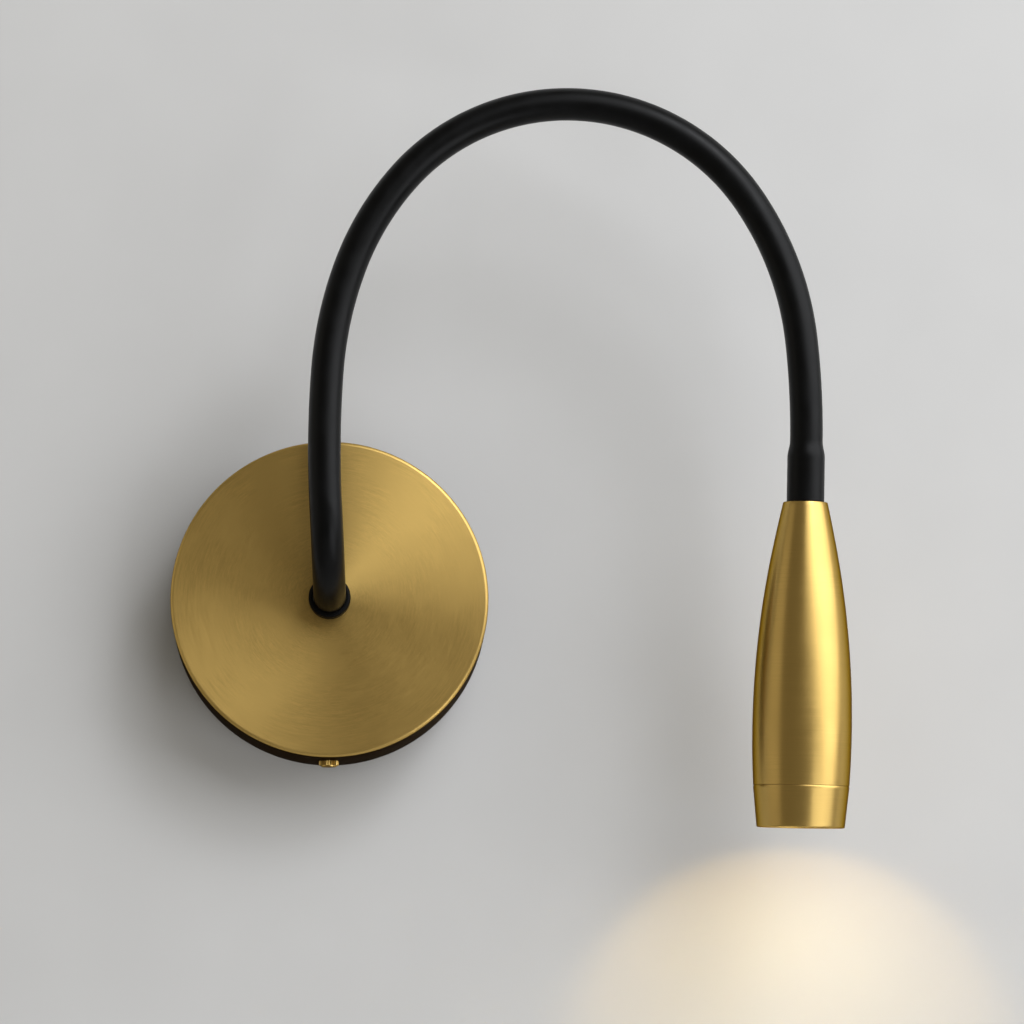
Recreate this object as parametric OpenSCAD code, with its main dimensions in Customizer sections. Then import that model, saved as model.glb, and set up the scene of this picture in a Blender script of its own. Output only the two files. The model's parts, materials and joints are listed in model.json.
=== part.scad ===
// Flexible wall sconce: a round canopy, a bendable hose arm and a turned reading-lamp head.
// The wall is the plane Y = 0, the canopy's centre is the origin, +Z is up and the room is on the -Y side.

/* [Canopy] */
// Outside diameter of the canopy
canopy_d = 100; // [96:1:130]
// Depth of the canopy, from the wall to its front face
canopy_h = 28; // [27:1:45]
// Thickness of the spun brass
canopy_wall = 1.5; // [1:0.1:2]
// Radius of the canopy's rounded front edge
canopy_edge = 1.2; // [0.4:0.1:2.5]
// Distance of the two side screws from the wall
side_screw_z = 15; // [12:0.5:17]

/* [Wall plate] */
// Thickness of the pressed steel plate
plate_t = 1.5; // [1:0.1:2]
// Diameter of the plate's disc
plate_d = 80; // [76:1:84]
// Width of the plate's two bent ears
ear_w = 14; // [10:1:20]
// Height of the ears, from the wall
ear_h = 21; // [20:0.5:23]
// Gap between the ears' corners and the inside of the canopy
ear_gap = 0.5; // [0.3:0.1:1]
// Distance between the middles of the two wall screw slots
slot_pitch = 60; // [54:1:64]
// Width of a slot
slot_w = 4.5; // [4:0.1:5.5]
// Length of a slot from end to end
slot_l = 12; // [8:0.5:14]
// Diameter of the hole for the supply cable
cable_hole_d = 15; // [12:0.5:16]
// Diameter of the bore of the cable grommet
cable_d = 10; // [6:0.5:10]

/* [Screws] */
// Thread diameter of the side screws and of the earth screw
screw_d = 4; // [3:0.5:4]
// Diameter of the knurled heads of the side screws
knurl_d = 6.2; // [5:0.1:8]
// Height of the knurled heads
knurl_h = 1.8; // [1.2:0.1:3]
// Number of knurls on a head
knurls = 24; // [16:2:32]
// Gap round a screw's thread
thread_gap = 0.08; // [0.05:0.01:0.2]

/* [Terminal block] */
// Distance from one pole to the next
pole_pitch = 10; // [9:0.5:11]
// Length of the block along its wires
block_l = 17; // [14:1:19]
// Height of the block
block_h = 12; // [11:0.5:14]
// Width of a brass clamp
clamp_w = 4.6; // [4:0.1:5]
// Distance of the block's middle below the canopy's centre
block_y = 26; // [24:0.5:28]

/* [Driver] */
// Length of the driver case
driver_l = 50; // [40:1:54]
// Width of the driver case
driver_w = 21; // [18:1:22]
// Height of the driver case with its lid
driver_h = 16; // [12:0.5:17]
// Wall of the driver case
driver_wall = 1.4; // [1:0.1:1.8]
// Distance of the driver's middle above the canopy's centre
driver_y = 22; // [21.5:0.5:24]

/* [Arm] */
// Outside diameter of the silicone sleeve
sleeve_d = 10.2; // [9.8:0.1:12]
// Thickness of the silicone
sleeve_wall = 1.1; // [0.8:0.1:1.2]
// Diameter of the steel core
core_d = 7.2; // [6.4:0.1:7.3]
// Diameter of the bore of the core
core_bore = 3.8; // [3.6:0.1:4.4]
// Diameter of the two-core lead
lead_d = 3.1; // [2.4:0.1:3.2]
// Gap between the steel core and what it fits into
core_gap = 0.1; // [0.05:0.01:0.2]
// Play between the ball of one length of the core and the cup of the next
cup_gap = 0.5; // [0.4:0.05:0.7]

/* [Curve of the arm] */
// Radius of the bend next to the canopy
base_bend_r = 26; // [22:1:36]
// Radius of the nearly straight rise above it
rise_r = 340; // [300:10:400]
// Radius where the arch starts
spring_r = 122; // [110:1:135]
// Radius of the arch's shoulder
shoulder_r = 90; // [82:1:98]
// Radius over the top of the arch
crown_r = 68; // [62:1:74]
// Radius where the arch comes down
fall_r = 98; // [90:1:106]
// Radius of the last bend, above the head
drop_r = 228; // [200:4:260]

/* [Arm fittings] */
// Thread diameter of the nipple in the canopy
nipple_d = 9.8; // [9.4:0.1:10.6]
// Length of that nipple behind the canopy's front face
nipple_l = 12; // [10.5:0.5:14]
// Width across the flats of its nut
nut_af = 14; // [13:0.5:17]
// Thickness of its nut
nut_h = 3.5; // [2.5:0.1:5]
// Thickness of its lock washer
washer_t = 1; // [0.6:0.1:1.4]
// Outside diameter of the collar on the canopy
collar_d = 13.2; // [13:0.1:16]
// Length of the collar
collar_l = 5; // [4:0.1:8]
// Length of sleeve that is stretched over the head's fitting
flare_l = 19; // [17:0.5:24]
// Length of the taper at its start
flare_taper = 5; // [3:0.5:7]
// Diameter of the head's fitting inside the sleeve
fitting_d = 9.2; // [9.1:0.1:9.8]
// Thread diameter of the nipple in the head
head_nipple_d = 7.9; // [7:0.1:8.4]
// Length of that nipple
head_nipple_l = 10; // [7:0.5:11]

/* [Head] */
// Diameter of the head where the hose enters
neck_d = 13.8; // [13:0.1:16]
// Chamfer round the top of the head
neck_chamfer = 0.3; // [0.1:0.1:0.8]
// Slope of the neck's side against the axis, in degrees
neck_slope = 12.9; // [12:0.1:13.5]
// Radius of the neck's long curve
neck_curve_r = 500; // [400:10:700]
// Part of the slope that the neck's curve takes up, in degrees
neck_sweep = 1.6; // [1:0.1:2.5]
// Radius of the belly's long curve
belly_curve_r = 290; // [280:5:320]
// Length of the head's one-piece shell
shell_l = 88; // [85:0.1:92]
// Thickness of the shell's wall
shell_wall = 1.6; // [1.2:0.1:1.8]
// Length of the solid boss at the top of the shell
boss_l = 12; // [11.5:0.5:14]

/* [Bezel and lens] */
// Length of the bezel ring that shows
ring_l = 13; // [12:0.1:16]
// Diameter of the bezel ring at its lower edge
ring_end_d = 27.4; // [27.2:0.1:29]
// Thickness of the bezel's lower edge
ring_lip = 0.9; // [0.6:0.1:1.2]
// Length of the spigot that screws into the shell
spigot_l = 7; // [5:0.5:8]
// Depth of the lens behind the lower edge
lens_recess = 6; // [5:0.5:7]
// Diameter of the lens
lens_d = 23.2; // [22:0.1:23.3]
// Thickness of the front disc of the lens
lens_disc_t = 1.6; // [1.2:0.1:2]
// Width of the ledge that carries the lens
ledge_w = 0.9; // [0.6:0.1:1.4]
// Thickness of the ledge
ledge_t = 1; // [0.8:0.1:1.4]

/* [Light engine] */
// Diameter of the LED board
board_d = 22.4; // [20:0.1:23]
// Thickness of the LED board
board_t = 1.6; // [1:0.1:2]
// Thickness of the thermal pad
pad_t = 0.4; // [0.2:0.1:0.6]
// Diameter of the heat sink
sink_d = 24.8; // [20:0.1:25]
// Length of the heat sink
sink_l = 32; // [20:1:33]
// Number of fins on the heat sink
fins = 14; // [8:1:20]
// Width of the gap between two fins
fin_gap = 1.6; // [1:0.1:2]
// Depth of the gap between two fins
fin_depth = 3.4; // [2:0.1:3.5]

/* [Hidden] */
$fn = 64;

BRASS = [0.72, 0.58, 0.32];
STEEL = [0.66, 0.67, 0.68];
BLACK = [0.09, 0.10, 0.11];
WHITE = [0.92, 0.92, 0.90];
eps = 0.01;
over = 1; // how far a cut or a hidden end runs past the face that it belongs to
seat = 0.05; // play between faces that are pressed together

// The arm's bends in turn, as a tube bender sets them: radius, sweep, and roll about the hose before the bend.
// The last one also leans the head towards the wall.
lean = 3;
BENDS = [
    [base_bend_r, 45, lean], [base_bend_r, 45, 0], [rise_r, 7, -90], [spring_r, 16, 0], [shoulder_r, 21, 0],
    [crown_r, 35, 0], [crown_r, 35, 0], [crown_r, 35, 0], [fall_r, 14, 0], [fall_r, 14, 0], [drop_r, 8, 30]
];
LAST = len(BENDS) - 1;

function lift(z) = [[1, 0, 0, 0], [0, 1, 0, 0], [0, 0, 1, z], [0, 0, 0, 1]];
function roll(a) = [[cos(a), -sin(a), 0, 0], [sin(a), cos(a), 0, 0], [0, 0, 1, 0], [0, 0, 0, 1]];
// A step of a degrees round a bend of radius r, which turns the local Z axis towards the local X axis
function bend(r, a) =
    [[cos(a), 0, sin(a), r * (1 - cos(a))], [0, 1, 0, 0], [-sin(a), 0, cos(a), r * sin(a)], [0, 0, 0, 1]];
// Where the hose leaves the collar: Z runs into the room and X points up
EXIT = [[0, -1, 0, 0], [0, 0, -1, -canopy_h - collar_l], [1, 0, 0, 0], [0, 0, 0, 1]];
// The frame at the start of bend i, and past the last bend
function frame(i) = i == 0 ? EXIT * roll(BENDS[0][2]) :
    frame(i - 1) * bend(BENDS[i - 1][0], BENDS[i - 1][1]) * roll(i > LAST ? 0 : BENDS[i][2]);
HEAD = frame(LAST + 1) * lift(flare_l);

canopy_r = canopy_d / 2;
inside_r = canopy_r - canopy_wall;
inside_h = canopy_h - canopy_wall;
hole_gap = 0.15; // round a screw or a wire in a plain hole
screw_r = screw_d / 2 - thread_gap;
screw_hole_r = screw_d / 2;
screw_tip = 2; // of a side screw, past the ear
ear_y = sqrt(pow(inside_r, 2) - pow(ear_w / 2, 2)) - ear_gap;
grommet_lip = 1.3;
grommet_lip_t = 1.2;
grommet_top = 0.6;
knurl_depth = 0.25;
knurl_dome = 0.4;
slot_cut_w = 0.8;
slot_cut_h = 0.6;
pan_head_r = screw_d * 0.9;
pan_head_h = screw_d * 0.55;

wire_r = 0.9;
earth_x = 25;
earth_y = -24;
earth_washer_r = screw_d * 1.1;
earth_washer_t = 0.8;
earth_ring_t = 0.8;
tongue_w = 2.8;
barrel_l = 5;
barrel_r = wire_r + 0.7;
barrel_y = 6.5;

block_edge = 1; // from the outer poles' clamps to the ends of the block
block_w = 3 * pole_pitch + 2 * block_edge;
clamp_z = plate_t + block_h * 0.45;
clamp_gap = 0.1;
clamp_bore_r = 1.4;
clamp_screw_r = 1.3;
clamp_head_r = 1.9;
clamp_head_h = 1.6;
clamp_lift = 0.6; // of a screw's head above its clamp
clamp_grip = 2; // length of thread in the clamp
block_cut_w = 1;
block_cut_h = 3;
block_screw_r = 1.4;
block_head_r = 2 * block_screw_r;
block_head_h = 2;
block_sink = 3; // depth of the block's screw below its top

driver_pad_t = 0.8;
driver_z = plate_t + driver_pad_t;
lid_t = driver_h * 0.25;
lid_lip = 1.5;
driver_corner = 2.5;
driver_board_t = 1.2;
board_play = 0.5;
board_l = driver_l - 2 * (driver_wall + board_play);
board_w = driver_w - 2 * (driver_wall + board_play);
transformer = [12, 11, 7.5];
tall_can_d = 6.3;
short_can_d = 5;
coil_d = 4;
coil_h = 4;
input_x = [8 - driver_l / 2, 12 - driver_l / 2];
output_x = driver_l / 2 - 9;
lead_z = driver_z + driver_h * 0.4;
connector_l = 13;
connector_w = 6;
connector_gap = 5; // from the driver case to the connector
connector_y = driver_y - driver_w / 2 - connector_gap;
socket_l = 0.45 * connector_l;
socket_wall = 0.4;
socket_depth = 3;
latch = [2, 0.5 * connector_l, 1.3];

core_r = core_d / 2;
bore_r = core_bore / 2;
lead_r = lead_d / 2;
ball_r = core_r - 0.1;
cup_r = ball_r + cup_gap;
tail_step = 0.1; // the core's straight ends are this much thinner, as they are where it is crimped
bore_run = 5; // how far a length's bore is cut past its ends
sleeve_r = sleeve_d / 2;
sleeve_bore_r = sleeve_r - sleeve_wall;
sleeve_gap = 0.3; // from the sleeve's ends to the metal that they meet
sleeve_sides = 16;
fitting_r = fitting_d / 2;
flare_bore_r = fitting_r + 0.15;
flare_r = flare_bore_r + sleeve_wall;
fitting_gap = 0.2; // from the fitting's top to the sleeve's taper
nipple_r = nipple_d / 2;
flange_r = sleeve_r + 0.5;
flange_t = 1.5;
washer_teeth = 12;
washer_tooth = 1.2;
collar_edge = 0.9;
collar_gap = 0.15;
lead_hole_r = lead_r + 0.6;
base_ledge = 2;
core_tail = nipple_l + collar_l - base_ledge;
fitting_l = flare_l - flare_taper - fitting_gap;
core_nose = flare_l - 4;
nut_z = inside_h - washer_t - seat - nut_h - seat;

head_l = shell_l + ring_l;
neck_r = neck_d / 2;
neck_end_w = neck_curve_r * (sin(neck_slope) - sin(neck_slope - neck_sweep));
neck_end_r = neck_r + neck_curve_r * (cos(neck_slope - neck_sweep) - cos(neck_slope));
belly_slope = neck_slope - neck_sweep;
neck_centre = [neck_r - neck_curve_r * cos(neck_slope), neck_curve_r * sin(neck_slope)];
belly_centre = [neck_end_r - belly_curve_r * cos(belly_slope), neck_end_w + belly_curve_r * sin(belly_slope)];
function belly_r(w) = belly_centre[0] + sqrt(pow(belly_curve_r, 2) - pow(w - belly_centre[1], 2));
shell_end_r = belly_r(shell_l);
spigot_r = shell_end_r - shell_wall - 0.15;
ring_chamfer = 0.15;
lip_chamfer = 0.2;
reflector_step = 0.3;
lens_r = lens_d / 2;
lens_seat_r = lens_r + 0.2;
lens_front_w = head_l - lens_recess - ledge_t;
lens_back_w = lens_front_w - lens_disc_t;
lens_cone_l = 10.2;
lens_top_w = lens_back_w - lens_cone_l;
lens_top_r = 4.2;
lens_rim = 1.2;
lens_base_r = lens_r - lens_rim;
hollow_top_r = 2.9;
hollow_end_r = 2.4;
hollow_l = 3.6;
hollow_crown = 0.8;
holder_wall = 1;
holder_foot = 2.4;
holder_web = 0.6;
cone_gap = 0.25;
holder_w = lens_top_w - holder_foot;
led_board_w = holder_w - seat - board_t;
pad_w = led_board_w - pad_t;
pad_edge = 0.6;
sink_w = pad_w - sink_l;
sink_r = sink_d / 2;
board_r = board_d / 2;
lead_x = 6; // offset of the lead where it passes beside the middle of the heat sink
board_screw_y = 8.2;
board_screw_r = 0.9;
board_screw_gap = 0.2;
board_screw_head_r = 1.7;
board_screw_head_h = 1.2;
board_screw_grip = 5;
board_screw_depth = 7;
package = [4.8, 4.8, 0.6];
phosphor_r = 2;
phosphor_h = 0.4;

// Draws in wall axes: X right, Y up, Z out from the wall
module on_wall() {
    rotate([90, 0, 0]) children();
}

// Both ears, screws or holes on the line through the canopy's top and bottom
module top_and_bottom() {
    for (side = [0, 1]) mirror([0, side, 0]) children();
}

// A hole or a rod that points up from Z = 0, turned to point along +Y
module upward() {
    rotate([-90, 0, 0]) children();
}

// A plate of the given thickness with round corners, centred on X and Y
module rounded_plate(l, w, r, t) {
    linear_extrude(t) {
        square([l - 2 * r, w], center = true);
        square([l, w - 2 * r], center = true);
        for (x = [-1, 1], y = [-1, 1]) translate([x * (l / 2 - r), y * (w / 2 - r)]) circle(r);
    }
}

// Part of a solid ring of tube radius r: it starts at the local origin and follows the bend
module bent_rod(bend_r, sweep, r) {
    translate([bend_r, 0, 0]) rotate([90, 0, 180]) rotate_extrude(angle = sweep, $fn = 180)
        translate([bend_r, 0]) circle(r, $fn = 48);
}

// A point of a frame's own axes, in the part's axes
function point_of(f, p) = let (q = f * concat(p, 1)) [q[0], q[1], q[2]];

// Points of a ring of radius r round the local Z axis of a frame
function ring_at(f, r, sides) =
    [for (k = [0:sides - 1]) point_of(f, [r * cos(360 * k / sides), r * sin(360 * k / sides), 0])];

// Joins rings of equal numbers of points into a closed skin.
// Hollow skins close on themselves, the others with end caps.
module skin(rings, hollow = false) {
    sides = len(rings[0]);
    last = len(rings) - 1;
    bands = hollow ? last : last - 1;
    faces = [for (i = [0:bands], k = [0:sides - 1], half = [0, 1])
        let (a = i * sides, b = (i == last ? 0 : i + 1) * sides, n = (k + 1) % sides)
        half == 0 ? [b + n, a + n, a + k] : [b + k, b + n, a + k]];
    caps = hollow ? [] : [[for (k = [0:sides - 1]) k], [for (k = [sides - 1:-1:0]) last * sides + k]];
    polyhedron([for (r = rings) each r], concat(faces, caps), convexity = 12);
}

// Frames along a run of points, each turned on from the last without twisting
function unit(v) = v / norm(v);
function heading(p, i) = unit(p[min(i + 1, len(p) - 1)] - p[max(i - 1, 0)]);
function side_of(t) = unit(cross(t, abs(t[2]) < 0.9 ? [0, 0, 1] : [1, 0, 0]));
function carried(s, t) = unit(s - (s * t) * t);
function sides_along(p, i = 0, s = [0, 0, 0], out = []) = i == len(p) ? out :
    let (t = heading(p, i), now = i == 0 ? side_of(t) : carried(s, t)) sides_along(p, i + 1, now, concat(out, [now]));
function axes_at(s, t, p) = let (u = cross(t, s))
    [[s[0], u[0], t[0], p[0]], [s[1], u[1], t[1], p[1]], [s[2], u[2], t[2], p[2]], [0, 0, 0, 1]];
function frames_along(p) = let (s = sides_along(p)) [for (i = [0:len(p) - 1]) axes_at(s[i], heading(p, i), p[i])];
// A smooth run through points chosen by hand, with n steps between neighbours
function smooth(p, n) = [for (i = [0:len(p) - 2], j = [0:n - 1]) spline(p, i, j / n), p[len(p) - 1]];
function spline(p, i, u) = let (a = p[max(i - 1, 0)], b = p[i], c = p[i + 1], d = p[min(i + 2, len(p) - 1)])
    b + 0.5 * u * (c - a + u * (2 * a - 5 * b + 4 * c - d + u * (3 * (b - c) + d - a)));
module wire(points, r, sides = 8, steps = 3) {
    skin([for (f = frames_along(smooth(points, steps))) ring_at(f, r, sides)]);
}

// Frames of the arm, from the collar to the last bend, one for about every five degrees of bend, with the rolls undone
function bend_steps(i) = max(2, ceil(BENDS[i][1] / 5));
function rolled(i) = i < 0 ? 0 : rolled(i - 1) + BENDS[i][2];
ARM_FRAMES = [for (i = [0:LAST], j = [0:bend_steps(i) - 1])
    frame(i) * bend(BENDS[i][0], BENDS[i][1] * j / bend_steps(i)) * roll(-rolled(i))];

// Wall side
module canopy_section(r, h, edge) {
    square([r - edge, h]);
    square([r, h - edge]);
    translate([r - edge, h - edge]) circle(edge);
}

module canopy() {
    color(BRASS) on_wall() difference() {
        rotate_extrude($fn = 180) intersection() {
            canopy_section(canopy_r, canopy_h, canopy_edge);
            square([canopy_r, canopy_h]);
        }
        translate([0, 0, -over]) cylinder(r = inside_r, h = inside_h + over, $fn = 180);
        cylinder(r = nipple_r + core_gap, h = canopy_h + over);
        top_and_bottom() translate([0, inside_r - over, side_screw_z]) upward()
            cylinder(r = screw_hole_r + hole_gap, h = canopy_wall + 2 * over);
    }
}

module ear() {
    translate([-ear_w / 2, 0, 0]) cube([ear_w, ear_y, plate_t]);
    translate([-ear_w / 2, ear_y - plate_t, 0]) cube([ear_w, plate_t, ear_h]);
}

module wall_plate() {
    run = (slot_l - slot_w) / 2;
    deep = plate_t + 2 * over;
    color(STEEL) on_wall() difference() {
        union() {
            cylinder(d = plate_d, h = plate_t, $fn = 120);
            top_and_bottom() ear();
        }
        translate([0, 0, -over]) cylinder(d = cable_hole_d, h = deep);
        for (side = [-1, 1]) translate([side * slot_pitch / 2, 0, -over]) {
            for (end = [-1, 1]) translate([end * run, 0, 0]) cylinder(d = slot_w, h = deep);
            translate([-run, -slot_w / 2, 0]) cube([2 * run, slot_w, deep]);
        }
        top_and_bottom() translate([0, ear_y - plate_t - over, side_screw_z]) upward()
            cylinder(r = screw_hole_r, h = deep);
        translate([earth_x, earth_y, -over]) cylinder(r = screw_hole_r, h = deep);
        translate([pole_pitch / 2, -block_y, -over]) cylinder(r = block_screw_r + thread_gap, h = deep);
    }
}

module cable_grommet() {
    hole_r = cable_hole_d / 2;
    color(BLACK) on_wall() rotate_extrude() difference() {
        union() {
            square([hole_r - core_gap, plate_t + grommet_lip_t]);
            translate([0, plate_t + seat]) square([hole_r + grommet_lip, grommet_lip_t]);
            translate([0, plate_t + seat]) square([hole_r + grommet_lip / 2, grommet_lip_t + grommet_top]);
        }
        translate([0, -over]) square([cable_d / 2, plate_t + grommet_lip_t + grommet_top + 2 * over]);
    }
}

// A round head with straight knurls, standing on Z = 0
module knurled_head(r, h) {
    linear_extrude(h - knurl_dome) polygon([for (k = [0:2 * knurls - 1])
        let (a = 180 * k / knurls, q = k % 2 == 0 ? r : r - knurl_depth) [q * cos(a), q * sin(a)]]);
    cylinder(r1 = r - knurl_depth - seat, r2 = r - knurl_depth - seat - knurl_dome, h = h);
}

module canopy_screws() {
    inner_y = ear_y - plate_t - screw_tip;
    head_y = canopy_r + seat;
    color(BRASS) on_wall() top_and_bottom() {
        translate([0, inner_y, side_screw_z]) upward() cylinder(r = screw_r, h = head_y - inner_y + knurl_h / 4);
        translate([0, head_y, side_screw_z]) upward() difference() {
            knurled_head(knurl_d / 2, knurl_h);
            translate([-knurl_d, -slot_cut_w / 2, knurl_h - slot_cut_h]) cube([2 * knurl_d, slot_cut_w, over]);
        }
    }
}

// A pan-head screw whose head stands on Z = 0 and whose thread reaches down by l
module pan_screw(head_r, head_h, thread_r, l) {
    rim_h = head_h * 0.6;
    arm = head_r * 0.6;
    arm_w = head_r * 0.22;
    difference() {
        union() {
            cylinder(r = head_r, h = rim_h);
            translate([0, 0, rim_h - eps]) cylinder(r1 = head_r, r2 = head_r * 0.7, h = head_h - rim_h);
        }
        for (turn = [0, 90]) rotate(turn) translate([-arm, -arm_w / 2, head_h / 2]) cube([2 * arm, arm_w, head_h]);
    }
    translate([0, 0, -l]) cylinder(r = thread_r, h = l + head_h * 0.3);
}

module at_earth(z) {
    on_wall() translate([earth_x, earth_y, z]) children();
}

module earth_screw() {
    stack = earth_washer_t + earth_ring_t + 2 * seat;
    color(BRASS) at_earth(plate_t + stack) pan_screw(pan_head_r, pan_head_h, screw_r, stack + plate_t - 4 * seat);
}

module earth_washer() {
    color(STEEL) at_earth(plate_t) difference() {
        cylinder(r = earth_washer_r, h = earth_washer_t);
        translate([0, 0, -over]) cylinder(r = screw_hole_r + hole_gap, h = earth_washer_t + 2 * over);
    }
}

// Ring terminal, with the barrel that is crimped on the earth lead
module earth_ring() {
    color(STEEL) at_earth(plate_t + earth_washer_t + seat) difference() {
        union() {
            cylinder(r = screw_d, h = earth_ring_t);
            translate([-tongue_w / 2, 0, 0]) cube([tongue_w, barrel_y + over / 2, earth_ring_t]);
            translate([0, barrel_y, barrel_r]) upward() cylinder(r = barrel_r, h = barrel_l);
        }
        translate([0, 0, -over]) cylinder(r = screw_hole_r + hole_gap, h = earth_ring_t + 2 * over);
        translate([0, barrel_y - over, barrel_r]) upward() cylinder(r = wire_r + hole_gap, h = barrel_l + 2 * over);
    }
}

module earth_lead() {
    z = plate_t + earth_washer_t + seat + barrel_r;
    top = earth_y + barrel_y + 1;
    color([0.35, 0.55, 0.15]) on_wall() wire([
        [earth_x, top, z], [earth_x, top + barrel_l - 1, z], [earth_x, top + barrel_l, z],
        [earth_x - 3, top + 8, z + 1], [earth_x - 8, top + 8.5, z + 2], [pole_pitch + 3, top + 6, clamp_z],
        [pole_pitch, 2 - block_y + block_l / 2, clamp_z], [pole_pitch, block_l / 2 - block_y - 4, clamp_z]
    ], wire_r, steps = 4);
}

module at_poles() {
    on_wall() for (pole = [-1:1]) translate([pole * pole_pitch, -block_y, 0]) children();
}

module terminal_block() {
    channel = clamp_w / 2 + clamp_gap;
    color(WHITE) difference() {
        on_wall() translate([-block_w / 2, -block_y - block_l / 2, plate_t + seat]) difference() {
            cube([block_w, block_l, block_h]);
            for (gap = [1, 2])
                translate([block_edge + gap * pole_pitch - block_cut_w / 2, -over, block_h - block_cut_h])
                    cube([block_cut_w, block_l + 2 * over, block_cut_h + over]);
        }
        at_poles() {
            translate([-channel, -block_l / 2 - over, clamp_z - channel])
                cube([2 * channel, block_l + 2 * over, 2 * channel]);
            for (end = [-1, 1]) translate([0, end * block_l / 4, clamp_z])
                cylinder(r = clamp_head_r + 2 * hole_gap, h = block_h);
        }
        on_wall() translate([pole_pitch / 2, -block_y, 0]) {
            cylinder(r = block_screw_r + hole_gap, h = 2 * block_h);
            translate([0, 0, plate_t + block_h - block_sink]) cylinder(r = block_head_r + hole_gap, h = block_h);
        }
    }
}

module terminal_clamps() {
    color(BRASS) at_poles() difference() {
        translate([-clamp_w / 2, 1 - block_l / 2, clamp_z - clamp_w / 2]) cube([clamp_w, block_l - 2, clamp_w]);
        translate([0, -block_l / 2, clamp_z]) upward() cylinder(r = clamp_bore_r, h = block_l);
        for (end = [-1, 1]) translate([0, end * block_l / 4, clamp_z]) cylinder(r = clamp_screw_r, h = clamp_w);
    }
}

module terminal_screws() {
    z = clamp_z + clamp_w / 2 + clamp_lift;
    color(STEEL) at_poles() for (end = [-1, 1]) translate([0, end * block_l / 4, z]) difference() {
        union() {
            cylinder(r = clamp_head_r, h = clamp_head_h);
            translate([0, 0, -clamp_grip]) cylinder(r = clamp_screw_r - thread_gap, h = clamp_grip + over);
        }
        translate([-clamp_head_r, -slot_cut_w / 2, clamp_head_h - slot_cut_h])
            cube([2 * clamp_head_r, slot_cut_w, over]);
    }
}

module block_screw() {
    l = block_h - block_sink + plate_t - seat;
    color(STEEL) on_wall() translate([pole_pitch / 2, -block_y, plate_t + block_h - block_sink + seat])
        pan_screw(block_head_r, block_head_h, block_screw_r, l);
}

module at_driver(z) {
    on_wall() translate([0, driver_y, z]) children();
}

// The driver case, with holes for its leads, which leave it on the side of the canopy's centre
module driver_case() {
    h = driver_h - lid_t;
    color(WHITE) difference() {
        at_driver(driver_z) difference() {
            rounded_plate(driver_l, driver_w, driver_corner, h);
            translate([0, 0, driver_wall])
                rounded_plate(driver_l - 2 * driver_wall, driver_w - 2 * driver_wall, driver_corner - driver_wall / 2, h);
        }
        at_driver(lead_z) {
            for (x = input_x) translate([x, 0, 0]) rotate([90, 0, 0]) cylinder(r = wire_r + hole_gap, h = driver_w);
            translate([output_x, 0, 0]) rotate([90, 0, 0]) cylinder(r = lead_r + hole_gap, h = driver_w);
        }
    }
}

module driver_lid() {
    lip = driver_wall + hole_gap;
    inner_l = driver_l - 4 * driver_wall;
    inner_w = driver_w - 4 * driver_wall;
    color(WHITE) at_driver(driver_z + driver_h - lid_t + seat) {
        difference() {
            rounded_plate(driver_l, driver_w, driver_corner, lid_t - seat);
            translate([0, 0, -over]) rounded_plate(inner_l, inner_w, 1, lid_t - driver_wall);
        }
        translate([0, 0, -lid_lip]) difference() {
            rounded_plate(driver_l - 2 * lip, driver_w - 2 * lip, driver_corner - lip / 2, lid_lip + over / 2);
            translate([0, 0, -over]) rounded_plate(inner_l, inner_w, 1, lid_lip + 3 * over);
        }
    }
}

// The circuit board inside the driver, with its transformer, its two capacitors and its coil
module driver_board() {
    tall = driver_board_t + transformer[2];
    color([0.1, 0.35, 0.2]) at_driver(driver_z + driver_wall + seat) {
        rounded_plate(board_l, board_w, 1, driver_board_t);
        translate([-transformer[0] / 2, -transformer[1] / 2, 0]) cube([transformer[0], transformer[1], tall]);
        translate([8 - board_l / 2, 2, 0]) cylinder(d = tall_can_d, h = tall);
        translate([board_l / 2 - 9, 3, 0]) cylinder(d = short_can_d, h = tall - board_play);
        translate([board_l / 2 - 3, -3, 0]) cylinder(d = coil_d, h = driver_board_t + coil_h);
    }
}

module driver_pad() {
    color(BLACK) at_driver(plate_t + seat / 2) rounded_plate(driver_l * 0.7, driver_w * 0.6, 1, driver_pad_t - seat);
}

module driver_input_leads() {
    start_y = driver_y - driver_w / 2 + driver_wall + 0.5;
    end_y = block_l / 2 - block_y - 4;
    color([0.35, 0.2, 0.12]) on_wall() for (k = [0, 1]) let (x = input_x[k], pole_x = (k - 1) * pole_pitch) wire([
        [x, start_y, lead_z], [x, start_y - 3, lead_z], [x, start_y - 4, lead_z],
        [x + 1 + 2 * k, start_y - 11, lead_z + 1.5 * k], [pole_x - 1, end_y + 10, lead_z + k],
        [pole_x, end_y + 5.5, clamp_z], [pole_x, end_y, clamp_z]
    ], wire_r, steps = 4);
}

// The driver's output lead ends in one half of an in-line connector, and the arm's lead starts from the other
module driver_output_lead() {
    y = connector_y;
    color(BLACK) on_wall() wire([
        [output_x, y + 1 + connector_gap + driver_wall, lead_z], [output_x, y + 4, lead_z], [output_x, y - 2, lead_z]
    ], lead_r, steps = 3);
}

module lead_connector() {
    half = connector_w / 2;
    slim = connector_w - 2 * socket_wall;
    color(WHITE) on_wall() translate([output_x, connector_y - connector_l, lead_z]) difference() {
        union() {
            translate([-half, 0, -half]) cube([connector_w, socket_l, connector_w]);
            translate([-slim / 2, 0, -slim / 2]) cube([slim, connector_l, slim]);
            translate([-latch[0] / 2, connector_l * 0.3, half - 0.5]) cube(latch);
        }
        for (y = [-over, connector_l - socket_depth]) translate([0, y, 0]) upward()
            cylinder(r = lead_r + hole_gap, h = socket_depth + over);
    }
}

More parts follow.
